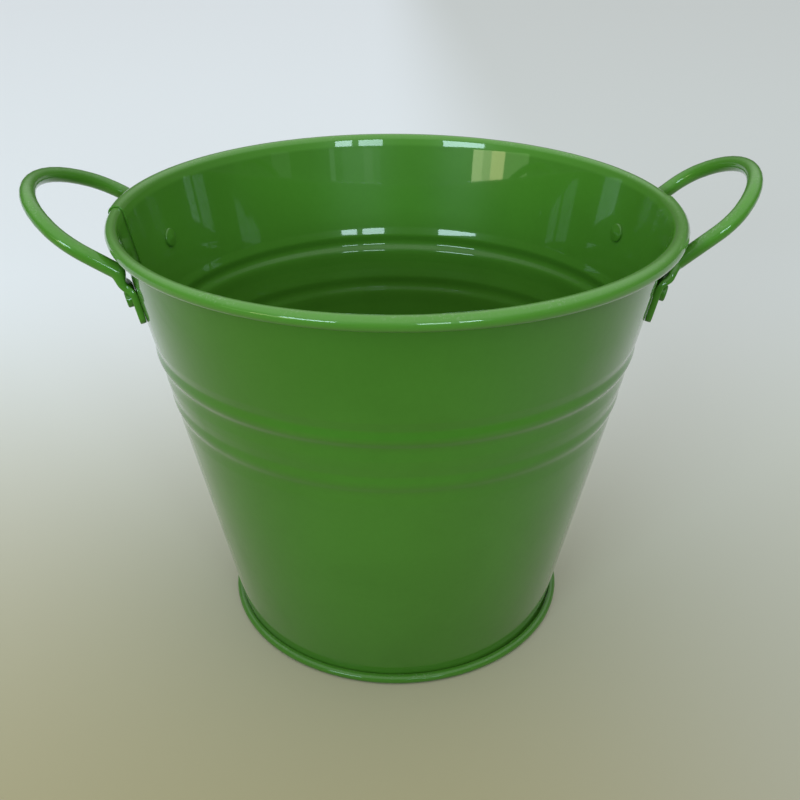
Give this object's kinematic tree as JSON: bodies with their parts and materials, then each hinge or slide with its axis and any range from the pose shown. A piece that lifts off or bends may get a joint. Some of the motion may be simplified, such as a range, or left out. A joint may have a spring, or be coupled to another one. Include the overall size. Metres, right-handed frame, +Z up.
{
  "type": "florist bucket",
  "caption": "Small tapered enamelled steel flower bucket with a rolled rim, pressed beads, a seamed base and fixed wire loop handles riveted to its sides.",
  "frame": {"origin": "centre of the seam ring that the bucket stands on, at floor level", "axes": "+Z up through the open mouth, +X through the middle of the right handle, -Y out of the front shell"},
  "size_m": [0.1971, 0.1548, 0.1364],
  "materials": {
    "shell_enamel": "glossy baked green enamel on pressed steel sheet, faint orange peel",
    "base_enamel": "glossy baked green enamel, worn where it stands",
    "handle_enamel": "glossy dipped green enamel on steel wire",
    "rivet_enamel": "green enamel over steel rivet heads"
  },
  "bodies": {
    "root": {"body_front_half": "shell_enamel", "body_back_half": "shell_enamel", "base_pan": "base_enamel", "handle_left": "handle_enamel", "handle_right": "handle_enamel", "rivet_left_front": "rivet_enamel", "rivet_left_back": "rivet_enamel", "rivet_right_front": "rivet_enamel", "rivet_right_back": "rivet_enamel"}
  },
  "joints": []
}
